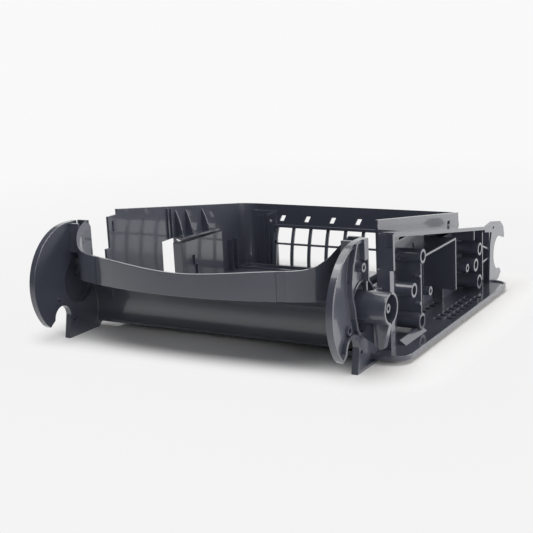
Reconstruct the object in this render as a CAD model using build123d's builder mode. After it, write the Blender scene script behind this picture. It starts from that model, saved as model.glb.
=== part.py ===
"""Chassis moulding of a floor-cleaning machine: one injection moulded piece.

Two half-moon end plates carry the roller and the wheel drive at the front. A curved beam and a
roller hood join them, an open tray with a grille stands behind, and a drive bay with tubular screw
bosses runs along the right side over a vented floor plate.

Layout axes: X to the right, Y to the rear, Z up, millimetres. X = 0 is the mid plane between the end
plates and Y = 0 is near the wheel axis. The finished piece is moved so that the origin lies at the
bottom centre of its bounding box.
"""
from build123d import *
from math import sqrt
import os

# Walls
wall = 3.0
rib = 2.2
blend = 0.6                    # overlap that lets neighbouring features fuse
past = 5.0                     # how far a cut runs past what it cuts

# End plates
plate_x = 170.0                # inner face of each end plate
plate_t = 3.0
rim_depth = 7.0                # rim around the end plate, measured from the inner face
rim_wall = 3.0
disc_y = 0.0
disc_z = 64.5
disc_r = 62.7
tip_y = -48.0                  # front tip of the half moon, beside the axle notch
tip_width = 5.0
tip_drop = 4.0
plate_rear_y = 14.0
leg_rear_y = 38.0
leg_step_y = 49.0

# Axle notch of the roller
notch_y = -21.5
notch_z = 26.0
notch_r = 13.0
leg_front_y = -13.5            # front edge of the leg where it meets the ground

# Wheel hub
hub_y = 11.0
hub_z = 61.0
ring_r = 24.7
ring_wall = 2.4
ring_depth = 9.0               # cup on the left, measured from the inner face
ring_lip = 4.0                 # ring on the right, measured from the inner face
well_depth = 10.0              # annular well around the root of the spindle
spindle_r = 15.8
spindle_wall = 2.4
spindle_end_x = 202.0
spindle_notch = 2.6

# Small fixing bosses and holes of the end plates
pin_r = 4.6
pin_bore_r = 2.2
pin_y = 2.5
pin_z = 101.0
web_end_x = 179.0              # outer plane of the ribs above the spindle
bow_points = (
    (-20.0, 108.0),
    (-24.0, 91.0),
    (-23.0, 76.0),
    (-19.0, 66.0),
    (-18.0, 56.0),
    (-14.0, 44.0),
    (-9.0, 38.0),
)
bow_top_y = -11.0
bow_t = 2.6
crown_flange = 9.0             # depth of the flange behind the crown
crown_flange_z = 107.0
web_point = ((193.5, 21.5), (190.0, 19.5), (186.3, 23.5))
web_foot_z = 32.0
web_ribs_y = (8.0, 16.0)
web_rib_x = (184.7, 199.8)     # upper ends of the two ribs of the web
peg_hole_r = 2.7
peg_hole_y = -25.0
peg_hole_z = 46.6
leg_hole_y = -1.5
leg_hole_z = 19.5
collar_wall = 1.8

# Beam between the end plates
beam_front_y = -47.0           # foremost point of the curved beam
beam_end_y = -22.8
beam_end_x = 134.0
beam_turn = (148.0, -12.0)
beam_corner = (155.0, 4.0)
beam_t = 3.6
beam_z = 70.0
beam_mid_z = 93.4
beam_knees = ((110.0, 99.8), (144.0, 106.5), (153.0, 116.0))
groove_x = (104.0, 113.0)      # shallow upright groove near each end of the beam
groove_depth = 0.9
beam_top_x = 158.0
beam_top_z = 127.0

# End columns behind the beam
column_x = 157.0
column_front_y = 0.0
column_rear_y = 19.0
column_ledge_z = 94.0
column_step = 8.0              # how far the front edge of a column stops below the beam's top

# Roller hood
hood_top_y = 19.0
hood_mid_y = 38.5
hood_mid_z = 30.0

# Tray
tray_x = 150.0
tray_rear_y = 337.0
tray_corner_r = 24.0
tray_sharp_r = 5.0
floor_z = 8.0
floor_t = 3.0
tray_front_y = 35.0
rim_front_y = 57.0             # front end of the full-height left wall
rim_front_z = 133.0
rim_rear_z = 92.5
step_y = 40.0
step_z = 127.0
toe_y = 33.0
toe_z = 92.0
right_front_y = 101.0
right_low_z = 72.0

# Grille in the rear wall
grille_pitch = 25.0
grille_columns = 8
grille_bar = 4.6
grille_split_z = 40.5
grille_split_t = 2.4
grille_top_z = 62.0
grille_foot_y = 323.0
grille_t = 2.6
grille_cheek = 4.0             # plain strip beside the outermost windows
grille_sill = 4.0              # depth of the sill above the windows
grille_bow = (325.5, 36.0)     # foremost point of the bowed panel at mid height, as (y, z)
vent_pitch = 36.5
vent_count = 6
vent_w = 6.0
vent_h = 7.5
vent_z = 74.5
vent_lean = 2.0

# Raised pad with upright ribs between the grille and the rounded corner
pad_x = (-134.0, -100.0)
pad_t = 3.0
pad_z = 84.0
pad_corner_r = 12.0
pad_rib_xs = (-126.0, -118.0, -111.0)
pad_hole = (-107.5, 71.0)
pad_hole_r = 1.8

# Left wall fittings
window_y = (138.0, 166.0)
window_z = (24.0, 79.0)
slit_y = (182.0, 270.0)
slit_z = (67.0, 64.5)
slit_h = 2.4
slit_hook = ((168.0, 76.0), (169.5, 78.0), (183.0, 69.4), (182.0, 67.0))
housing_y = (162.0, 253.0)
housing_z = (73.0, 70.3)
housing_depth = 12.0
housing_roof = 10.0
housing_slot_depth = 2.2
housing_slots = ((175.0, 188.0, 20.0, 54.0), (188.0, 193.0, 26.0, 41.0))
ledge_y = (165.0, 250.0)
ledge_z = (77.0, 72.5)
ledge_depth = 10.0
gusset_ys = (170.0, 192.0, 228.0)
gusset_drop = 5.0
ribbed_ys = (151.0, 158.0)
low_rib_ys = (284.0, 296.0)
low_rib_depth = 7.0
low_rib_z = 52.0
front_recess = 1.2
front_recess_y = (45.5, 49.0)
front_recess_z = (109.0, 121.0)

# Opening in the tray floor
hatch_x = (-140.0, -40.0)
hatch_y = (303.0, 320.0)
hatch_curb = 3.0

# Drive bay on the right
bay_x = 188.0                  # outer plane of the ribs
bay_wall_x = 162.0             # outer face of the inner bay wall
bay_wall_t = 2.5
bay_front_ys = (101.0, 155.0)
bay_rear_ys = (250.0, 316.0)
link_x = 168.0
link_top_z = 72.0
flange_x = 190.0
flange_y = (49.0, 318.0)
flange_front_z = 125.3
flange_slope = -0.166
flange_t = 3.0
flange_rim = 4.0
post_x = (175.0, 190.0)
post_foot_x = (172.0, 186.0)
post_foot_y = 56.0
post_recess_x = (181.5, 188.5)
post_recess_z = 110.0
post_waist_z = 88.0
shelf_z = 84.0
partition_y = 222.0
partition_foot_z = 27.0
tie_y = 121.0
closing_rib_y = 312.0
strip_run = 40.0
back_rib_gap = 4.0
branch_gap = 6.0
tie_lug = 6.0
stop_rib_y = 283.0
stop_rib_z = 71.0
back_rib_ys = (176.0, 200.0)
tie_lug_zs = (36.0, 65.0)
strip_slots = ((162.0, 166.0, 86.0, 91.0), (126.0, 158.0, 101.5, 104.0))
rear_wall_hole = (299.0, 307.0, 83.5, 88.0)

# Floor plate under the drive bay
sole_x = 210.0
sole_y = (25.0, 347.0)
sole_z = 4.0
sole_t = 4.0
sole_corner_r = 17.0
sole_lip = 1.6
sole_lip_w = 2.4
sole_slot = (7.0, 7.0)
sole_slot_pitch = 13.5
sole_slot_rows = ((161.0, 189.0, 4), (186.0, 170.0, 8), (197.0, 174.0, 8))
skid_y = (66.0, 122.0)
skid_x = (184.0, 194.0)
skid_h = 5.0

# Screw bosses in the drive bay, each at (y, z)
boss_end_x = 190.0
boss_r = 7.5
boss_bore_r = 4.8
foot_boss_r = 8.5
foot_boss_bore_r = 5.6
stud_r = 4.8
stud_bore_r = 2.5
bosses = ((122.0, 87.0), (97.0, 57.0), (298.0, 58.0), (284.0, 42.0))
foot_bosses = ((117.0, 19.5), (296.0, 19.5))
studs = ((144.0, 45.0), (258.0, 44.0))
pilot = (112.0, 87.0)
pilot_end_x = 167.0
pilot_step = 0.6               # how much finer the pilot hole is than the stud bores

# Rear hook plate
hook_x = 190.0
hook_t = 3.0
hook_y = 370.0
hook_z = 40.0
hook_r = 22.0
pivot_hole_r = 2.0
pivot_hole = (347.0, 74.0)
hook_top = ((345.0, 82.0), (375.0, 77.0), (386.0, 69.0), (389.0, 58.0), (388.0, 54.0))
hook_toe = ((371.0, 19.5), (375.5, 14.0), (368.0, sole_z + sole_t), (352.0, sole_z), (331.0, sole_z))
hook_neck = ((335.0, 55.0), (341.0, 70.0))
hook_web_z = 72.0
hook_neck_drop = 6.0
branch_zs = ((57.5, 46.5), (37.7, 38.5))

# Rest feet under the tray
foot_x = 110.0
foot_y = (235.0, 295.0)
foot_rib_y = 120.0
foot_t = 4.0
foot_rib_drop = 3.0
cross_rib_gap = 6.0

tray_inner_x = tray_x - wall
tray_inner_rear_y = tray_rear_y - wall
floor_top = floor_z + floor_t
sole_top = sole_z + sole_t
grille_half = grille_pitch * grille_columns / 2


def side_plane(x):
    """Sketch plane facing +X at x, with Y to the right and Z up."""
    return Plane.YZ.offset(x)


def front_plane(y):
    """Sketch plane facing -Y at y, with X to the right and Z up."""
    return Plane.XZ.offset(-y)


def on_circle(centre_y, centre_z, radius, y, upper):
    """Height of a circle of the side view at y."""
    rise = sqrt(radius ** 2 - (y - centre_y) ** 2)
    return centre_z + rise if upper else centre_z - rise


def rim_height(y):
    """Height of the sloping tray rim at y."""
    share = (y - rim_front_y) / (tray_rear_y - rim_front_y)
    return rim_front_z + share * (rim_rear_z - rim_front_z)


def flange_height(y):
    """Top face of the sloping bay flange at y."""
    return flange_front_z + flange_slope * (y - flange_y[0])


def block(x0, x1, y0, y1, z0, z1, mode=Mode.ADD):
    """Box between two corners."""
    with BuildSketch(Plane.XY.offset(z0)) as profile:
        with Locations(((x0 + x1) / 2, (y0 + y1) / 2)):
            Rectangle(abs(x1 - x0), abs(y1 - y0))
    extrude(profile.sketch, amount=z1 - z0, mode=mode)


def side_slab(points, x0, x1, mode=Mode.ADD):
    """Polygon of the side view, extruded from x0 to x1."""
    with BuildSketch(side_plane(x0)) as profile:
        with BuildLine():
            Polyline(*points, close=True)
        make_face()
    extrude(profile.sketch, amount=x1 - x0, mode=mode)


def front_slab(points, y0, y1, mode=Mode.ADD):
    """Polygon of the front view, extruded from y0 to y1."""
    with BuildSketch(front_plane(y1)) as profile:
        with BuildLine():
            Polyline(*points, close=True)
        make_face()
    extrude(profile.sketch, amount=y1 - y0, mode=mode)


def side_disc(x0, x1, y, z, radius, mode=Mode.ADD):
    """Cylinder along X from x0 to x1."""
    with BuildSketch(side_plane(x0)) as profile:
        with Locations((y, z)):
            Circle(radius)
    extrude(profile.sketch, amount=x1 - x0, mode=mode)


def plate_outline():
    """Side view of an end plate: half moon, axle notch and leg."""
    tip_z = on_circle(disc_y, disc_z, disc_r, tip_y, False)
    crown_z = on_circle(disc_y, disc_z, disc_r, disc_y, True)
    notch_left = (notch_y - notch_r, notch_z)
    notch_right = (notch_y + notch_r, notch_z)
    Polyline((tip_y, tip_z), (tip_y + tip_width, tip_z - tip_drop), notch_left)
    ThreePointArc(notch_left, (notch_y, notch_z + notch_r), notch_right)
    Polyline(
        notch_right,
        (leg_front_y, 0),
        (leg_rear_y, 0),
        (leg_step_y, floor_z),
        (leg_step_y, beam_z),
        (plate_rear_y, beam_z + wall),
        (plate_rear_y, crown_z),
        (disc_y, crown_z),
    )
    ThreePointArc((disc_y, crown_z), (disc_y - disc_r, disc_z), (tip_y, tip_z))


def end_plate(side):
    """Half-moon end plate with its rim, on the left (-1) or the right (+1)."""
    with BuildSketch(side_plane(side * plate_x)) as profile:
        with BuildLine():
            plate_outline()
        make_face()
    extrude(profile.sketch, amount=side * plate_t)
    with BuildSketch(side_plane(side * plate_x)) as profile:
        with BuildLine():
            plate_outline()
        make_face()
        offset(amount=-rim_wall, mode=Mode.SUBTRACT)
    extrude(profile.sketch, amount=side * rim_depth)
    for y, z, bore in ((peg_hole_y, peg_hole_z, peg_hole_r), (leg_hole_y, leg_hole_z, pin_bore_r)):
        side_disc(side * plate_x, side * (plate_x + rim_depth - 1), y, z, bore + collar_wall)
        side_disc(side * (plate_x - 1), side * (plate_x + rim_depth), y, z, bore, Mode.SUBTRACT)


def left_cup():
    """Bearing cup in the left end plate, open to the inside."""
    side_disc(-plate_x, -plate_x - ring_depth, hub_y, hub_z, ring_r + ring_wall)
    side_disc(-plate_x + 1, -plate_x - ring_depth + ring_wall, hub_y, hub_z, ring_r, Mode.SUBTRACT)


def spindle():
    """Wheel spindle on the right, in an annular well with a low ring around it."""
    root = plate_x - well_depth
    lip = plate_x + ring_lip
    side_disc(root, lip, hub_y, hub_z, ring_r + ring_wall)
    side_disc(root + ring_wall, lip, hub_y, hub_z, ring_r, Mode.SUBTRACT)
    side_disc(root, spindle_end_x, hub_y, hub_z, spindle_r)
    side_disc(root + ring_wall, spindle_end_x, hub_y, hub_z, spindle_r - spindle_wall, Mode.SUBTRACT)
    side_disc(root, spindle_end_x - wall, hub_y, hub_z, pin_r)
    side_disc(root + ring_wall, spindle_end_x, hub_y, hub_z, pin_bore_r, Mode.SUBTRACT)
    for end in (-1, 1):
        z = hub_z + end * (spindle_r - spindle_wall / 2)
        half = spindle_notch / 2
        x0 = spindle_end_x - spindle_notch
        low, high = z - spindle_wall, z + spindle_wall
        block(x0, spindle_end_x, hub_y - half, hub_y + half, low, high, Mode.SUBTRACT)


def hub_ribs():
    """Bowed rib, rear flange and small boss on the outer face of the right end plate."""
    crown_z = disc_z + disc_r
    bow = ((bow_top_y, crown_z - 1), *bow_points)
    side_slab([*bow, *[(y + bow_t, z) for y, z in reversed(bow)]], plate_x, web_end_x)
    block(plate_x, web_end_x, plate_rear_y - crown_flange, plate_rear_y, crown_flange_z, crown_z)
    block(plate_x, web_end_x, plate_rear_y - rib, plate_rear_y, hub_z + ring_r, crown_flange_z + 1)
    side_disc(plate_x, web_end_x, pin_y, pin_z, pin_r)
    side_disc(plate_x + plate_t, web_end_x, pin_y, pin_z, pin_bore_r, Mode.SUBTRACT)


def spindle_web():
    """Pointed web below the spindle, framed by two thin ribs."""
    top_z = hub_z - spindle_r + 2
    end_x = spindle_end_x - 1
    outline = ((plate_x, top_z), (end_x, top_z), *web_point, (plate_x, web_foot_z))
    front_slab(outline, hub_y - rib / 2, hub_y + rib / 2)
    for upper_x, (x, z) in zip(web_rib_x, (web_point[2], web_point[0])):
        strip = ((upper_x - 1, top_z), (upper_x + 1, top_z), (x + 1, z), (x - 1, z))
        front_slab(strip, *web_ribs_y)


def beam_path():
    """Plan view of the beam: a bowed front with rounded corners that turn to the rear."""
    ThreePointArc((-beam_end_x, beam_end_y), (0, beam_front_y + beam_t / 2), (beam_end_x, beam_end_y))
    for side in (-1, 1):
        end = (side * beam_end_x, beam_end_y)
        turn = (side * beam_turn[0], beam_turn[1])
        corner = (side * beam_corner[0], beam_corner[1])
        ThreePointArc(end, turn, corner)
        Line(corner, (side * column_x, column_rear_y))


def beam_front(x):
    """Front face of the bowed stretch of the beam at x."""
    sag = beam_end_y - beam_front_y - beam_t / 2
    radius = (beam_end_x ** 2 + sag ** 2) / (2 * sag)
    return beam_end_y - sag + radius - sqrt((radius + beam_t / 2) ** 2 - x ** 2)


def beam_grooves():
    """Shallow upright groove in the front face near each end of the beam."""
    x0, x1 = groove_x
    for side in (-1, 1):
        with BuildSketch(Plane.XY.offset(beam_z)) as profile:
            with BuildLine():
                Polyline(
                    (side * x0, beam_front(x0) - 2),
                    (side * x1, beam_front(x1) - 2),
                    (side * x1, beam_front(x1) + groove_depth),
                    (side * x0, beam_front(x0) + groove_depth),
                    close=True,
                )
            make_face()
        extrude(profile.sketch, amount=beam_top_z - beam_z, mode=Mode.SUBTRACT)


def beam_top():
    """Front view of the beam: its top edge sags in the middle and sweeps up at both ends."""
    right = [*beam_knees, (beam_top_x, beam_top_z)]
    left = [(-x, z) for x, z in reversed(right)]
    far = plate_x + wall
    Spline(*left, (0, beam_mid_z), *right)
    Polyline(right[-1], (far, beam_top_z), (far, beam_z), (-far, beam_z), (-far, beam_top_z), left[0])


def hood_band(inner_shift):
    """Side view of the hood's curve, shifted to the rear."""
    top = (hood_top_y + inner_shift, beam_z + wall)
    mid = (hood_mid_y + inner_shift, hood_mid_z)
    foot = (tray_front_y + inner_shift, floor_z)
    return top, mid, foot


def hood():
    """Concave sheet behind the roller, and the shelf that joins it to the beam."""
    front = hood_band(0)
    back = hood_band(wall)
    with BuildSketch(side_plane(-plate_x - blend)) as profile:
        with BuildLine():
            ThreePointArc(*front)
            Line(front[2], back[2])
            ThreePointArc(*reversed(back))
            Line(back[0], front[0])
        make_face()
    extrude(profile.sketch, amount=2 * (plate_x + blend))
    front = beam_front_y + beam_t
    corner = beam_corner[0] - 1
    with BuildSketch(Plane.XY.offset(beam_z)) as profile:
        with BuildLine():
            ThreePointArc((-beam_end_x, beam_end_y), (0, front), (beam_end_x, beam_end_y))
            Polyline(
                (beam_end_x, beam_end_y),
                (corner, beam_corner[1]),
                (plate_x + blend, column_front_y + wall),
                (plate_x + blend, hood_top_y + wall),
                (-plate_x - blend, hood_top_y + wall),
                (-plate_x - blend, column_front_y + wall),
                (-corner, beam_corner[1]),
                (-beam_end_x, beam_end_y),
            )
        make_face()
    extrude(profile.sketch, amount=wall)


def end_column(side):
    """Hollow column behind each end of the beam, and the web that ties the end plate to the tray."""
    x0 = side * column_x
    x1 = side * (plate_x + blend)
    block(x0, x1, column_rear_y - wall, column_rear_y, beam_z, beam_top_z)
    block(x0, x1, column_front_y, column_front_y + wall, column_ledge_z, beam_top_z - 1)
    front_top = beam_top_z - column_step
    block(x0 - side * 2, x0, column_front_y, column_front_y + 2 * wall, column_ledge_z, front_top)
    block(side * (tray_x - 1), x1, leg_step_y - wall, leg_step_y, floor_z, beam_z)


def tray_floor():
    """Floor of the tray, with the curb of its rear opening and the rest feet below."""
    block(-tray_x + blend, tray_x - blend, tray_front_y, tray_rear_y - 1, floor_z, floor_top)
    x0, x1 = hatch_x
    y0, y1 = hatch_y
    block(x0 - rib, x1 + rib, y0 - rib, y1 + rib, floor_z, floor_top + hatch_curb)
    block(x0, x1, y0, y1, floor_z - 1, floor_top + hatch_curb + 1, Mode.SUBTRACT)
    low, high = floor_z - foot_rib_drop, floor_z + blend
    for side in (-1, 1):
        x = side * foot_x
        block(x - foot_t / 2, x + foot_t / 2, *foot_y, 0, high)
        block(x - foot_t / 2, x + foot_t / 2, foot_rib_y, foot_y[0] + blend, low, high)
    cross_x = tray_x - cross_rib_gap
    block(-cross_x, cross_x, foot_y[0], foot_y[0] + foot_t, low, high)


def tray_plan(outset, front):
    """Plan of the tray, with a large rounded corner at the left rear and a small one at the right."""
    half = tray_x + outset
    rear = tray_rear_y + outset
    with BuildSketch() as plan:
        with Locations((0, (front + rear) / 2)):
            Rectangle(2 * half, rear - front)
        rear_left, rear_right = plan.vertices().group_by(Axis.Y)[-1].sort_by(Axis.X)
        fillet(rear_left, tray_corner_r + outset)
        fillet(rear_right, tray_sharp_r + outset)
    return plan.sketch


def tray_walls():
    """Left, rear and right tray walls."""
    outer = tray_plan(0, toe_y)
    inner = tray_plan(-wall, toe_y - 1)
    with BuildSketch(Plane.XY.offset(floor_z)) as profile:
        add(outer)
        add(inner, mode=Mode.SUBTRACT)
    extrude(profile.sketch, amount=rim_front_z + past - floor_z)
    low_front = (
        (toe_y - past, floor_z - 1),
        (tray_front_y + 1, floor_z - 1),
        (hood_mid_y + 1, hood_mid_z),
        (toe_y - past, beam_z),
    )
    side_slab(low_front, -tray_x - past, tray_x + past, Mode.SUBTRACT)


def cut_rims():
    """Slope the top of the tray walls and step their front ends."""
    high = rim_front_z + 2 * past
    far = tray_rear_y + past
    left = (
        (far, rim_height(far)),
        (rim_front_y, rim_height(rim_front_y)),
        (rim_front_y, step_z),
        (step_y, step_z),
        (step_y, toe_z),
        (toe_y - past, toe_z),
        (toe_y - past, high),
        (far, high),
    )
    side_slab(left, -tray_x - past, 0, Mode.SUBTRACT)
    right = (
        (far, rim_height(far)),
        (right_front_y, rim_height(right_front_y)),
        (right_front_y, right_low_z),
        (toe_y - past, right_low_z),
        (toe_y - past, high),
        (far, high),
    )
    side_slab(right, 0, tray_x + past, Mode.SUBTRACT)


def grille():
    """Bowed grille panel in the rear wall, with its windows and the row of leaning slots above."""
    cheek_x = grille_half + grille_cheek
    top = grille_top_z + 2
    front = ((grille_foot_y, floor_top - 1), grille_bow, (tray_rear_y - grille_t, top))
    block(-cheek_x, cheek_x, tray_inner_rear_y - wall, tray_rear_y + 2, floor_top, top, Mode.SUBTRACT)
    with BuildSketch(side_plane(-cheek_x)) as profile:
        with BuildLine():
            ThreePointArc(*front)
            Line(front[2], (front[2][0] + grille_t, front[2][1]))
            ThreePointArc(*[(y + grille_t, z) for y, z in reversed(front)])
            Line((front[0][0] + grille_t, front[0][1]), front[0])
        make_face()
    extrude(profile.sketch, amount=2 * cheek_x)
    block(-cheek_x, cheek_x, tray_inner_rear_y - grille_sill, tray_rear_y, grille_top_z + 1, top + 2)
    for side in (-1, 1):
        low = ((grille_foot_y, floor_top - 1), (tray_rear_y, floor_top - 1))
        high = ((tray_rear_y, grille_top_z + wall), front[2], front[1])
        side_slab((*low, *high), side * cheek_x, side * (cheek_x - wall))
    width = grille_pitch - grille_bar
    columns = [(column - (grille_columns - 1) / 2) * grille_pitch for column in range(grille_columns)]
    with BuildSketch(front_plane(tray_rear_y + blend)) as windows:
        for z0, z1 in ((floor_top, grille_split_z), (grille_split_z + grille_split_t, grille_top_z)):
            with Locations(*[(x, (z0 + z1) / 2) for x in columns]):
                Rectangle(width, z1 - z0)
    extrude(windows.sketch, amount=tray_rear_y - grille_foot_y + 2 * blend, mode=Mode.SUBTRACT)
    vents = [(slot - (vent_count - 1) / 2) * vent_pitch for slot in range(vent_count)]
    lean = vent_lean
    with BuildSketch(front_plane(tray_rear_y + 1)) as slots:
        with Locations(*[(x, vent_z) for x in vents]):
            Polygon(
                (-vent_w / 2 - lean, -vent_h / 2),
                (vent_w / 2 - lean, -vent_h / 2),
                (vent_w / 2 + lean, vent_h / 2),
                (-vent_w / 2 + lean, vent_h / 2),
            )
    extrude(slots.sketch, amount=tray_rear_y - tray_inner_rear_y + past, mode=Mode.SUBTRACT)


def corner_pad():
    """Raised pad with upright ribs between the grille and the rounded corner, and a small hole."""
    x0, x1 = pad_x
    face_y = tray_inner_rear_y - pad_t
    with BuildSketch(front_plane(tray_inner_rear_y + 1)) as profile:
        with Locations(((x0 + x1) / 2, (floor_top + pad_z) / 2)):
            Rectangle(x1 - x0, pad_z - floor_top)
        upper_left = profile.vertices().group_by(Axis.Z)[-1].sort_by(Axis.X)[0]
        fillet(upper_left, pad_corner_r)
    extrude(profile.sketch, amount=pad_t + 1)
    for x in pad_rib_xs:
        block(x, x + rib, face_y - rib, face_y + 1, floor_top - 1, pad_z - pad_corner_r / 2)
    x, z = pad_hole
    with BuildSketch(front_plane(tray_rear_y + 1)) as profile:
        with Locations((x, z)):
            Circle(pad_hole_r)
    extrude(profile.sketch, amount=wall + pad_t + 2, mode=Mode.SUBTRACT)


def sloped(y, ys, zs):
    """Height at y on the line through both ends of ys and zs."""
    return zs[0] + (zs[1] - zs[0]) * (y - ys[0]) / (ys[1] - ys[0])


def left_wall_fittings():
    """Window, light slit, ledge with gussets and the box housing on the left tray wall."""
    inner = -tray_inner_x
    outer = -tray_x - 1
    block(outer, inner + 1, *window_y, *window_z, Mode.SUBTRACT)
    y0, y1 = housing_y
    z0, z1 = housing_z
    face = inner + housing_depth
    side_slab(((y0, floor_top - 1), (y1, floor_top - 1), (y1, z1), (y0, z0)), inner - 1, face)
    roof = [(y1 - wall, z1 - housing_roof), (y0 + wall, z0 - housing_roof)]
    hollow = ((y0 + wall, floor_top), (y1 - wall, floor_top), *roof)
    side_slab(hollow, outer, face - wall, Mode.SUBTRACT)
    for slot in housing_slots:
        block(face - housing_slot_depth, face + 1, *slot, Mode.SUBTRACT)
    ledge = [(y, sloped(y, ledge_y, ledge_z)) for y in ledge_y]
    side_slab((*ledge, *[(y, z + rib) for y, z in reversed(ledge)]), inner - 1, inner + ledge_depth)
    slit = list(zip(slit_y, slit_z))
    side_slab((*slit, *[(y, z + slit_h) for y, z in reversed(slit)]), outer, inner + 1, Mode.SUBTRACT)
    side_slab(slit_hook, outer, inner + 1, Mode.SUBTRACT)
    for y in gusset_ys:
        foot = sloped(y, ledge_y, ledge_z) + 1
        peak = rim_height(y) - gusset_drop
        bulge = (inner + ledge_depth * 0.6, (foot + peak) / 2 + 2)
        with BuildSketch(front_plane(y + rib / 2)) as profile:
            with BuildLine():
                Polyline((inner + 0.5, peak), (inner - 1, peak), (inner - 1, foot), (inner + ledge_depth - 0.5, foot))
                ThreePointArc((inner + ledge_depth - 0.5, foot), bulge, (inner + 0.5, peak))
            make_face()
        extrude(profile.sketch, amount=rib)
    for y in ribbed_ys:
        block(inner - 1, inner + rib, y, y + rib, window_z[1] + 1, rim_height(y) - 3)
    for y in low_rib_ys:
        block(inner - 1, inner + low_rib_depth, y, y + rib, floor_top - 1, low_rib_z)
    block(inner - front_recess, inner + 1, *front_recess_y, *front_recess_z, Mode.SUBTRACT)


def bay_flange():
    """Sloping flange on top of the drive bay, with a deeper rim along its outer edge."""
    y0, y1 = flange_y
    z0 = flange_height(y0)
    z1 = flange_height(y1)
    z_mid = flange_height(right_front_y)
    for x, y, z in ((post_x[0], y0, z0), (tray_x - 1, right_front_y, z_mid)):
        side_slab(((y, z), (y1, z1), (y1, z1 - flange_t), (y, z - flange_t)), x, flange_x)
    side_slab(((y0, z0), (y1, z1), (y1, z1 - flange_rim), (y0, z0 - flange_rim)), flange_x - 2, flange_x)


def bay_walls():
    """Inner walls of the drive bay: the post at its front, the link wall and the boss walls."""
    root = tray_x - 1
    base = sole_top - 1
    y0 = flange_y[0]
    block(*post_x, y0 - wall, y0 + 1, post_waist_z, flange_height(y0) - 1)
    block(*post_recess_x, y0 - wall - 1, y0 - 1, post_recess_z, flange_height(y0) + 1, Mode.SUBTRACT)
    block(*post_foot_x, y0 - wall, post_foot_y, base, post_waist_z + 1)
    block(post_foot_x[0] - 1, post_foot_x[1] - rib, y0, post_foot_y - rib, base + 2, post_waist_z - 1, Mode.SUBTRACT)
    block(root, post_foot_x[0] + 1, y0 - wall, y0, base, link_top_z)
    block(link_x - bay_wall_t, link_x, y0 - wall, right_front_y, base, link_top_z)
    front0, front1 = bay_front_ys
    block(root, link_x, front0 - rib, front0, base, link_top_z)
    block(root, bay_wall_x, front0 - rib, front0, base, flange_height(front0) - 1)
    block(root, bay_wall_x, front1 - rib, front1, base, flange_height(front1) - 1)
    block(bay_wall_x - bay_wall_t, bay_wall_x, front0 - rib, front1, base, flange_height(front1) - 1)
    strip_y = front1 + strip_run
    block(bay_wall_x - bay_wall_t, bay_wall_x, front1 - rib, strip_y, shelf_z + 1, flange_height(strip_y) - 1)
    rear0, rear1 = bay_rear_ys
    for y in (rear0, rear1 - rib):
        block(root, bay_wall_x, y, y + rib, base, flange_height(rear1) - 1)
    block(bay_wall_x - bay_wall_t, bay_wall_x, rear0, rear1, base, flange_height(rear1) - 1)


def bay_ribs():
    """Ribs of the drive bay that end at its outer plane."""
    root = tray_x - 1
    base = sole_top - 1
    block(root, bay_x, tie_y, partition_y + rib, shelf_z, shelf_z + rib)
    block(root, bay_x, partition_y, partition_y + rib, partition_foot_z, shelf_z + rib)
    block(root, bay_x, tie_y - rib / 2, tie_y + rib / 2, foot_bosses[0][1], bosses[0][1])
    for z in tie_lug_zs:
        block(bay_x - tie_lug, bay_x, tie_y - tie_lug + 2, tie_y, z, z + tie_lug / 2)
    block(root, bay_x, closing_rib_y, closing_rib_y + rib, base, flange_height(closing_rib_y) - 1)
    block(root, bay_x, stop_rib_y, stop_rib_y + rib, stop_rib_z, flange_height(stop_rib_y + rib) - 1)
    for y in back_rib_ys:
        block(root, bay_wall_x - back_rib_gap, y, y + rib, base, shelf_z + 1)
    far = hook_y - hook_r - branch_gap
    for z0, z1 in branch_zs:
        outline = ((closing_rib_y, z0), (far, z1), (far, z1 + rib), (closing_rib_y, z0 + rib))
        side_slab(outline, root, bay_x)


def bay_slots():
    """Small slots in the walls beside the drive bay."""
    for slot in strip_slots:
        block(bay_wall_x - bay_wall_t - 1, bay_wall_x + 1, *slot, Mode.SUBTRACT)
    block(tray_inner_x - 1, tray_x + 1, *rear_wall_hole, Mode.SUBTRACT)


def bay_bosses():
    """Tubular screw bosses that point to the right."""
    groups = (
        (bosses, boss_r, boss_bore_r, boss_end_x),
        (foot_bosses, foot_boss_r, foot_boss_bore_r, boss_end_x),
        (studs, stud_r, stud_bore_r, boss_end_x - 1),
    )
    root = bay_wall_x - bay_wall_t
    for places, radius, bore, end in groups:
        for y, z in places:
            side_disc(root, end, y, z, radius)
    side_disc(root, pilot_end_x, *pilot, stud_r - 1)
    for places, radius, bore, end in groups:
        for y, z in places:
            side_disc(root + wall, end + 1, y, z, bore, Mode.SUBTRACT)
    side_disc(root + wall, pilot_end_x + 1, *pilot, stud_bore_r - pilot_step, Mode.SUBTRACT)


def hook_plate():
    """Upright plate at the rear, with a C-shaped hook that opens to the rear."""
    front_top = (flange_y[1] - 2, flange_height(flange_y[1]) - 1)
    lip = (hook_y - 2, hook_z + hook_r - 2)
    heel = (hook_y - 5, hook_z - hook_r + 1.5)
    with BuildSketch(side_plane(hook_x - hook_t)) as profile:
        with BuildLine():
            Polyline(front_top, *hook_top, lip)
            ThreePointArc(lip, (hook_y - hook_r, hook_z), heel)
            Polyline(heel, *hook_toe)
            Polyline(hook_toe[-1], *hook_neck, (front_top[0], front_top[1] - hook_neck_drop), front_top)
        make_face()
        with Locations(pivot_hole):
            Circle(pivot_hole_r, mode=Mode.SUBTRACT)
    extrude(profile.sketch, amount=hook_t)
    block(tray_x - 1, hook_x - 1, tray_rear_y - wall, tray_rear_y, sole_z, hook_web_z)


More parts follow.
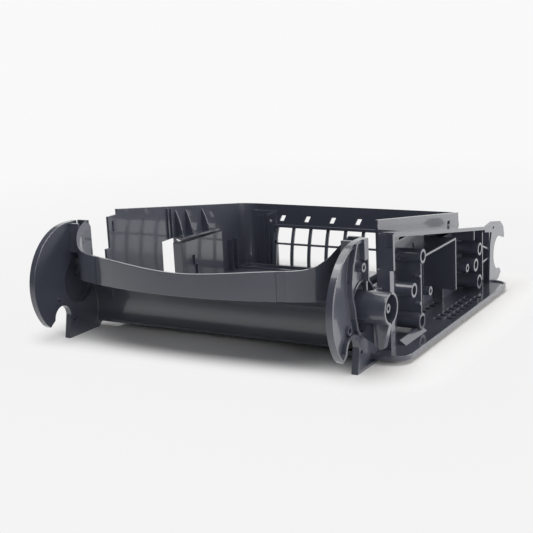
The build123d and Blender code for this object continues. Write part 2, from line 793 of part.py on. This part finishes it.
def sole():
    """Vented floor plate under the drive bay, with a lip around its free edge."""
    y0, y1 = sole_y
    x0 = tray_x - wall - 1
    with BuildSketch() as plan:
        with Locations(((x0 + sole_x) / 2, (y0 + y1) / 2)):
            Rectangle(sole_x - x0, y1 - y0)
        fillet(plan.vertices().group_by(Axis.X)[-1], sole_corner_r)
    with BuildSketch(Plane.XY.offset(sole_z)) as profile:
        add(plan.sketch)
    extrude(profile.sketch, amount=sole_t)
    with BuildSketch(Plane.XY.offset(sole_top - blend)) as profile:
        add(plan.sketch)
        offset(amount=-sole_lip_w, mode=Mode.SUBTRACT)
    extrude(profile.sketch, amount=sole_lip + blend)
    length, width = sole_slot
    with BuildSketch(Plane.XY.offset(sole_z - 1)) as profile:
        for x, start, count in sole_slot_rows:
            for step in range(count):
                with Locations((x, start + step * sole_slot_pitch)):
                    Rectangle(width, length)
    extrude(profile.sketch, amount=sole_t + 2, mode=Mode.SUBTRACT)
    x0, x1 = skid_x
    foot = sole_top - blend
    top = sole_top + skid_h
    front_slab(((x0, foot), (x1, foot), (x0 + rib, top), (x0, top)), *skid_y)


with BuildPart() as beam_body:
    with BuildSketch(Plane.XY.offset(beam_z)):
        with BuildLine() as path:
            beam_path()
        trace(path.line, line_width=beam_t)
    extrude(amount=beam_top_z - beam_z)
    with BuildSketch(front_plane(column_rear_y + past)):
        with BuildLine():
            beam_top()
        make_face()
    extrude(amount=column_rear_y - beam_front_y + 2 * past, mode=Mode.INTERSECT)
    beam_grooves()

with BuildPart() as tray_body:
    tray_walls()
    cut_rims()
    left_wall_fittings()
    grille()
    corner_pad()

with BuildPart() as shell:
    add(tray_body.part)
    tray_floor()
    hood()
    add(beam_body.part)
    for side in (-1, 1):
        end_column(side)
        end_plate(side)
    left_cup()
    spindle()
    hub_ribs()
    spindle_web()
    sole()
    bay_flange()
    bay_walls()
    bay_ribs()
    hook_plate()
    bay_bosses()
    bay_slots()

box = shell.part.bounding_box()
centre = box.center()

with BuildPart() as chassis_housing:
    add(shell.part.moved(Location((-centre.X, -centre.Y, -box.min.Z))))

chassis_housing.part.label = "chassis_housing"
os.makedirs("parts", exist_ok=True)
export_step(chassis_housing.part, "parts/chassis_housing.step")
print("size", box.size, "corner", box.min, "solids", len(chassis_housing.solids()))
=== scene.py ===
import math

import bmesh
import bpy
from mathutils import Matrix, Vector


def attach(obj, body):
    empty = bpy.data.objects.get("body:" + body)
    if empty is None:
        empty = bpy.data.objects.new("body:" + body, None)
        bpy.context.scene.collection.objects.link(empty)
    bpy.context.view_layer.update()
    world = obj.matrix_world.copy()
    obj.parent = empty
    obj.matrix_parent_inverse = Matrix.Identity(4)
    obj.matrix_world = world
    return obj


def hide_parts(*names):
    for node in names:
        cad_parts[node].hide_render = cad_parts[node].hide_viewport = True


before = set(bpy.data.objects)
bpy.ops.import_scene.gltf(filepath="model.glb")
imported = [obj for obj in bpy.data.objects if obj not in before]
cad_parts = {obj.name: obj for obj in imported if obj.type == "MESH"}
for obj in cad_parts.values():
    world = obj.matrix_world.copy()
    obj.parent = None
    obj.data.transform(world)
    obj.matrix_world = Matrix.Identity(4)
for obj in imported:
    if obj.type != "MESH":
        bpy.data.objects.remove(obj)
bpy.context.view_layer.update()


# The camera stands in front of the spindle end, a little above the housing, and looks across
# the bowed beam to the rear left corner. It is rolled slightly clockwise.
camera_place = Vector((0.5854, -1.06355, 0.3325))
camera_yaw = math.radians(30.265)
camera_pitch = math.radians(12.819)
camera_roll = math.radians(-2.884)
camera_lens = 73.83
camera_sensor = 36.0

look = Vector(
    (
        -math.sin(camera_yaw) * math.cos(camera_pitch),
        math.cos(camera_yaw) * math.cos(camera_pitch),
        -math.sin(camera_pitch),
    )
)
level_right = Vector((math.cos(camera_yaw), math.sin(camera_yaw), 0))
level_up = level_right.cross(look)
right = math.cos(camera_roll) * level_right + math.sin(camera_roll) * level_up
up = math.cos(camera_roll) * level_up - math.sin(camera_roll) * level_right
camera = bpy.data.objects.new("camera", bpy.data.cameras.new("camera"))
bpy.context.scene.collection.objects.link(camera)
camera.matrix_world = Matrix.Translation(camera_place) @ Matrix((right, up, -look)).transposed().to_4x4()
camera.data.sensor_width = camera_sensor
camera.data.lens = camera_lens
camera.data.clip_start = 0.05
camera.data.clip_end = 20.0
bpy.context.scene.camera = camera
bpy.context.scene.view_settings.view_transform = "Standard"


# The housing is one moulding in dark slate grey plastic. The mould leaves small radii on all its
# edges, so the skin is the solid's own surface with its sharp edges rounded where there is room.
edge_radius = 0.0006
room_needed = 4.0 * edge_radius
sharp_edge = math.radians(28)
weld_distance = 0.00001
flat_tolerance = math.radians(0.4)
radius_steps = 2

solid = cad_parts["chassis_housing"]
housing = bpy.data.objects.new("housing", solid.data.copy())
bpy.context.scene.collection.objects.link(housing)
bpy.ops.object.select_all(action="DESELECT")
housing.select_set(True)
bpy.context.view_layer.objects.active = housing
bpy.ops.object.mode_set(mode="EDIT")
bpy.ops.mesh.select_all(action="SELECT")
bpy.ops.mesh.customdata_custom_splitnormals_clear()
bpy.ops.mesh.remove_doubles(threshold=weld_distance)
bpy.ops.mesh.dissolve_limited(angle_limit=flat_tolerance)
bpy.ops.object.mode_set(mode="OBJECT")

# An edge beside a very short one is left sharp, because its radius would fold over its neighbour.
net = bmesh.new()
net.from_mesh(housing.data)
rounded = net.edges.layers.float.new("bevel_weight_edge")
for edge in net.edges:
    if edge.calc_face_angle(0.0) <= sharp_edge:
        continue
    shortest = min(near.calc_length() for end in edge.verts for near in end.link_edges)
    if shortest > room_needed:
        edge[rounded] = 1.0
    else:
        edge.smooth = False
net.to_mesh(housing.data)
net.free()

rounding = housing.modifiers.new("edge rounding", "BEVEL")
rounding.width = edge_radius
rounding.segments = radius_steps
rounding.limit_method = "WEIGHT"
rounding.use_clamp_overlap = False
rounding.harden_normals = True
bpy.ops.object.modifier_apply(modifier=rounding.name)


# The finish is the bare surface of the mould: a polished face that mirrors what stands round it,
# with a faint swell from shrinkage, hair-fine rubbing marks and a little dust on what faces up.
swell_scale = 22.0
cloud_scale = 9.0
grain_scale = 1400.0
mark_scale = 60.0
speck_scale = 620.0
even = (1.0, 1.0, 1.0)
lengthways = (1.0, 24.0, 24.0)  # draws the rubbing marks out along the housing's width

level_enough = 0.75
speck_edge = (0.70, 0.78)
mark_edge = (0.62, 0.70)
dust_cloud = (0.35, 0.75)
cloud_spread = (0.3, 0.7)
dust_most = 0.35
dust_cover = 0.35
shade_change = (0.88, 1.12)
gloss_change = (-0.02, 0.03)
mark_dulling = 0.07
dust_dulling = 0.25
swell_share = 0.16
grain_share = 0.0022
mark_share = 0.004


def moulded_surface():
    """Group that gives the colour, roughness and height of the moulded surface at a place on it."""
    group = bpy.data.node_groups.new("moulded surface", "ShaderNodeTree")
    face = group.interface
    face.new_socket("Place", in_out="INPUT", socket_type="NodeSocketVector")
    face.new_socket("Colour", in_out="INPUT", socket_type="NodeSocketColor")
    face.new_socket("Dust colour", in_out="INPUT", socket_type="NodeSocketColor")
    face.new_socket("Gloss", in_out="INPUT", socket_type="NodeSocketFloat")
    face.new_socket("Colour", in_out="OUTPUT", socket_type="NodeSocketColor")
    face.new_socket("Roughness", in_out="OUTPUT", socket_type="NodeSocketFloat")
    face.new_socket("Height", in_out="OUTPUT", socket_type="NodeSocketFloat")
    nodes = group.nodes
    link = group.links.new
    start = nodes.new("NodeGroupInput")
    end = nodes.new("NodeGroupOutput")

    def noise(scale, detail, stretch):
        turn = nodes.new("ShaderNodeMapping")
        turn.inputs["Scale"].default_value = stretch
        grain = nodes.new("ShaderNodeTexNoise")
        grain.inputs["Scale"].default_value = scale
        grain.inputs["Detail"].default_value = detail
        link(start.outputs["Place"], turn.inputs["Vector"])
        link(turn.outputs["Vector"], grain.inputs["Vector"])
        return grain.outputs["Fac"]

    def ranged(value, low, high, to_low, to_high):
        remap = nodes.new("ShaderNodeMapRange")
        limits = {"From Min": low, "From Max": high, "To Min": to_low, "To Max": to_high}
        for name, number in limits.items():
            remap.inputs[name].default_value = number
        link(value, remap.inputs["Value"])
        return remap.outputs["Result"]

    def reckon(operation, first, second):
        step = nodes.new("ShaderNodeMath")
        step.operation = operation
        for socket, value in zip(step.inputs, (first, second)):
            if isinstance(value, float):
                socket.default_value = value
            else:
                link(value, socket)
        return step.outputs["Value"]

    def blended(share, first, second):
        mix = nodes.new("ShaderNodeMix")
        mix.data_type = "RGBA"
        link(share, mix.inputs["Factor"])
        link(first, mix.inputs["A"])
        link(second, mix.inputs["B"])
        return mix.outputs["Result"]

    swell = noise(swell_scale, 1.0, even)
    cloud = noise(cloud_scale, 3.0, even)
    grain = noise(grain_scale, 2.0, even)
    rubbed = noise(mark_scale, 4.0, lengthways)
    specks = noise(speck_scale, 2.0, even)

    normal = nodes.new("ShaderNodeNewGeometry")
    level = nodes.new("ShaderNodeSeparateXYZ")
    link(normal.outputs["Normal"], level.inputs["Vector"])
    facing_up = ranged(level.outputs["Z"], level_enough, 1.0, 0.0, 1.0)
    speck_mask = ranged(specks, *speck_edge, 0.0, 1.0)
    dusty = reckon("MULTIPLY", facing_up, ranged(cloud, *dust_cloud, 0.0, dust_most))
    dust = reckon("MAXIMUM", dusty, reckon("MULTIPLY", facing_up, speck_mask))
    marks = ranged(rubbed, *mark_edge, 0.0, 1.0)

    shaded = nodes.new("ShaderNodeHueSaturation")
    link(start.outputs["Colour"], shaded.inputs["Color"])
    link(ranged(cloud, *cloud_spread, *shade_change), shaded.inputs["Value"])
    dusted = reckon("MULTIPLY", dust, dust_cover)
    tinted = blended(dusted, shaded.outputs["Color"], start.outputs["Dust colour"])
    link(tinted, end.inputs["Colour"])

    rubbed_dull = reckon("MULTIPLY", marks, mark_dulling)
    uneven = reckon("ADD", ranged(cloud, *cloud_spread, *gloss_change), rubbed_dull)
    rough = reckon("ADD", start.outputs["Gloss"], uneven)
    link(reckon("ADD", rough, reckon("MULTIPLY", dust, dust_dulling)), end.inputs["Roughness"])

    raised_marks = reckon("MULTIPLY", marks, mark_share)
    fine = reckon("ADD", reckon("MULTIPLY", grain, grain_share), raised_marks)
    link(reckon("ADD", reckon("MULTIPLY", swell, swell_share), fine), end.inputs["Height"])
    return group


plastic_colour = (0.046, 0.051, 0.071, 1.0)
dust_colour = (0.20, 0.19, 0.18, 1.0)
plastic_roughness = 0.30
plastic_ior = 1.5
skin_weight = 1.0
skin_roughness = 0.05
swell_height = 0.0012

plastic = bpy.data.materials.new("slate grey plastic")
plastic.use_nodes = True
nodes = plastic.node_tree.nodes
link = plastic.node_tree.links.new
shader = nodes["Principled BSDF"]
surface = nodes.new("ShaderNodeGroup")
surface.node_tree = moulded_surface()
surface.inputs["Colour"].default_value = plastic_colour
surface.inputs["Dust colour"].default_value = dust_colour
surface.inputs["Gloss"].default_value = plastic_roughness
place = nodes.new("ShaderNodeTexCoord")
relief = nodes.new("ShaderNodeBump")
relief.inputs["Strength"].default_value = 1.0
relief.inputs["Distance"].default_value = swell_height
link(place.outputs["Object"], surface.inputs["Place"])
link(surface.outputs["Colour"], shader.inputs["Base Color"])
link(surface.outputs["Roughness"], shader.inputs["Roughness"])
link(surface.outputs["Height"], relief.inputs["Height"])
link(relief.outputs["Normal"], shader.inputs["Normal"])
link(relief.outputs["Normal"], shader.inputs["Coat Normal"])
shader.inputs["IOR"].default_value = plastic_ior
shader.inputs["Coat Weight"].default_value = skin_weight
shader.inputs["Coat Roughness"].default_value = skin_roughness
housing.data.materials.clear()
housing.data.materials.append(plastic)
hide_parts("chassis_housing")
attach(housing, "root")


# The studio is a white sweep under a large soft light, with a small one over the front, one at
# the front right and a warm one beside the spindle.
sweep_half_width = 14.0
sweep_front = -14.0
sweep_rear = 4.0
sweep_height = 4.0
sweep_radius = 1.2
sweep_steps = 16
rear_margin = 0.01

bpy.ops.object.select_all(action="DESELECT")
bpy.ops.mesh.primitive_plane_add(size=1.0)
sweep = bpy.context.active_object
sweep.name = "sweep"
for corner in sweep.data.vertices:
    corner.co.x *= 2 * sweep_half_width
    corner.co.y = sweep_rear if corner.co.y > 0 else sweep_front
bpy.ops.object.mode_set(mode="EDIT")
bpy.ops.mesh.select_all(action="DESELECT")
bpy.ops.mesh.select_mode(type="EDGE")
bpy.ops.object.mode_set(mode="OBJECT")
for edge in sweep.data.edges:
    ends = [sweep.data.vertices[index].co.y for index in edge.vertices]
    edge.select = min(ends) > sweep_rear - rear_margin
bpy.ops.object.mode_set(mode="EDIT")
bpy.ops.mesh.extrude_region_move(TRANSFORM_OT_translate={"value": (0, 0, sweep_height)})
bpy.ops.object.mode_set(mode="OBJECT")
bend = sweep.modifiers.new("bend", "BEVEL")
bend.width = sweep_radius
bend.segments = sweep_steps
bend.limit_method = "ANGLE"
bpy.ops.object.modifier_apply(modifier=bend.name)
bpy.ops.object.shade_smooth()

# The paper is lit as it lies, so it keeps the shadow close round the housing. Further out the camera
# sees it glow white; the gloss sees it white at the back and as a painted shade greying towards the
# front edge.
paper_colour = (0.8, 0.8, 0.8, 1.0)
shadow_centre = (0.0, 0.023, 0.0)
shadow_half = (0.1945, 0.186, 0.0)
shadow_reach = 0.06
# The camera's white is a painted shade near the housing: greyer there, clearing to full white far off.
painted_shade_white_near = 0.89
white_far = 0.95
far_off = 1.2
# The floor that the gloss sees in front of the housing is a painted shade, darkest at the front edge.
front_edge = -0.9
front_start = -0.25
painted_reflection_grey = 0.3
paper_roughness = 0.9

paper = bpy.data.materials.new("white paper")
paper.use_nodes = True
nodes = paper.node_tree.nodes
link = paper.node_tree.links.new
lit = nodes["Principled BSDF"]
lit.inputs["Base Color"].default_value = paper_colour
lit.inputs["Roughness"].default_value = paper_roughness
lit.inputs["Specular IOR Level"].default_value = 0.0


def vector_step(operation, first, second):
    """Result of one vector sum in the paper's material."""
    step = nodes.new("ShaderNodeVectorMath")
    step.operation = operation
    link(first, step.inputs[0])
    step.inputs[1].default_value = second
    return step.outputs["Value"] if operation == "LENGTH" else step.outputs["Vector"]


place = nodes.new("ShaderNodeTexCoord").outputs["Object"]
aside = vector_step("ABSOLUTE", vector_step("SUBTRACT", place, shadow_centre), (0, 0, 0))
outside = vector_step("MAXIMUM", vector_step("SUBTRACT", aside, shadow_half), (0, 0, 0))
gap = vector_step("LENGTH", outside, (0, 0, 0))
clear_floor = nodes.new("ShaderNodeMapRange")
clear_floor.interpolation_type = "SMOOTHSTEP"
clear_floor.inputs["From Max"].default_value = shadow_reach
link(gap, clear_floor.inputs["Value"])
# Painted shade: the white that the camera sees greys towards the housing.
white_with_painted_shade = nodes.new("ShaderNodeMapRange")
white_with_painted_shade.inputs["From Min"].default_value = shadow_reach
white_with_painted_shade.inputs["From Max"].default_value = far_off
white_with_painted_shade.inputs["To Min"].default_value = painted_shade_white_near
white_with_painted_shade.inputs["To Max"].default_value = white_far
link(gap, white_with_painted_shade.inputs["Value"])
rays = nodes.new("ShaderNodeLightPath")
seen = nodes.new("ShaderNodeMath")
seen.operation = "MAXIMUM"
link(rays.outputs["Is Camera Ray"], seen.inputs[0])
link(rays.outputs["Is Glossy Ray"], seen.inputs[1])
also_through = nodes.new("ShaderNodeMath")
also_through.operation = "MAXIMUM"
link(seen.outputs["Value"], also_through.inputs[0])
link(rays.outputs["Is Transmission Ray"], also_through.inputs[1])
share = nodes.new("ShaderNodeMath")
share.operation = "MULTIPLY"
link(also_through.outputs["Value"], share.inputs[0])
link(clear_floor.outputs["Result"], share.inputs[1])
across = nodes.new("ShaderNodeSeparateXYZ")
link(place, across.inputs["Vector"])
# Painted shade in the reflections: what the gloss sees of the paper greys towards the front.
painted_reflection_shade = nodes.new("ShaderNodeMapRange")
painted_reflection_shade.inputs["From Min"].default_value = front_edge
painted_reflection_shade.inputs["From Max"].default_value = front_start
painted_reflection_shade.inputs["To Min"].default_value = painted_reflection_grey
painted_reflection_shade.inputs["To Max"].default_value = 1.0
link(across.outputs["Y"], painted_reflection_shade.inputs["Value"])
paper_glow_with_painted_shade = nodes.new("ShaderNodeMix")
link(rays.outputs["Is Camera Ray"], paper_glow_with_painted_shade.inputs["Factor"])
link(painted_reflection_shade.outputs["Result"], paper_glow_with_painted_shade.inputs["A"])
link(white_with_painted_shade.outputs["Result"], paper_glow_with_painted_shade.inputs["B"])
white = nodes.new("ShaderNodeEmission")
link(paper_glow_with_painted_shade.outputs["Result"], white.inputs["Strength"])
both = nodes.new("ShaderNodeMixShader")
link(share.outputs["Value"], both.inputs["Fac"])
link(lit.outputs["BSDF"], both.inputs[1])
link(white.outputs["Emission"], both.inputs[2])
link(both.outputs["Shader"], nodes["Material Output"].inputs["Surface"])
sweep.data.materials.append(paper)

# The sky gives a little fill. Past the end of the paper the camera sees it as the same white.
sky_fill = 0.1

world = bpy.data.worlds.new("studio")
bpy.context.scene.world = world
world.use_nodes = True
sky_nodes = world.node_tree.nodes
sky = sky_nodes["Background"]
sky.inputs["Color"].default_value = (1.0, 1.0, 1.0, 1.0)
sky_rays = sky_nodes.new("ShaderNodeLightPath")
sky_level = sky_nodes.new("ShaderNodeMapRange")
sky_level.inputs["To Min"].default_value = sky_fill
sky_level.inputs["To Max"].default_value = white_far
world.node_tree.links.new(sky_rays.outputs["Is Camera Ray"], sky_level.inputs["Value"])
world.node_tree.links.new(sky_level.outputs["Result"], sky.inputs["Strength"])


def soft_light(name, place, target, width, height, power, colour):
    """Rectangular soft light that faces its target."""
    lamp = bpy.data.lights.new(name, "AREA")
    lamp.shape = "RECTANGLE"
    lamp.size = width
    lamp.size_y = height
    lamp.energy = power
    lamp.color = colour
    body = bpy.data.objects.new(name, lamp)
    bpy.context.scene.collection.objects.link(body)
    body.location = place
    body.rotation_euler = (Vector(target) - Vector(place)).to_track_quat("-Z", "Y").to_euler()


plain_white = (1.0, 1.0, 1.0)
warm_white = (1.0, 0.95, 0.9)

soft_light("overhead", (0.0, 0.2, 1.9), (0.0, 0.0, 0.0), 1.8, 1.8, 24.0, plain_white)
soft_light("over the front", (0.0, -0.45, 1.0), (0.0, 0.15, 0.05), 0.9, 0.5, 5.0, plain_white)
soft_light("front right", (2.1, -1.5, 0.8), (0.0, 0.0, 0.05), 1.4, 1.0, 22.0, plain_white)
soft_light("beside the spindle", (1.5, 0.5, 0.34), (0.15, 0.0, 0.05), 1.0, 0.5, 20.0, warm_white)
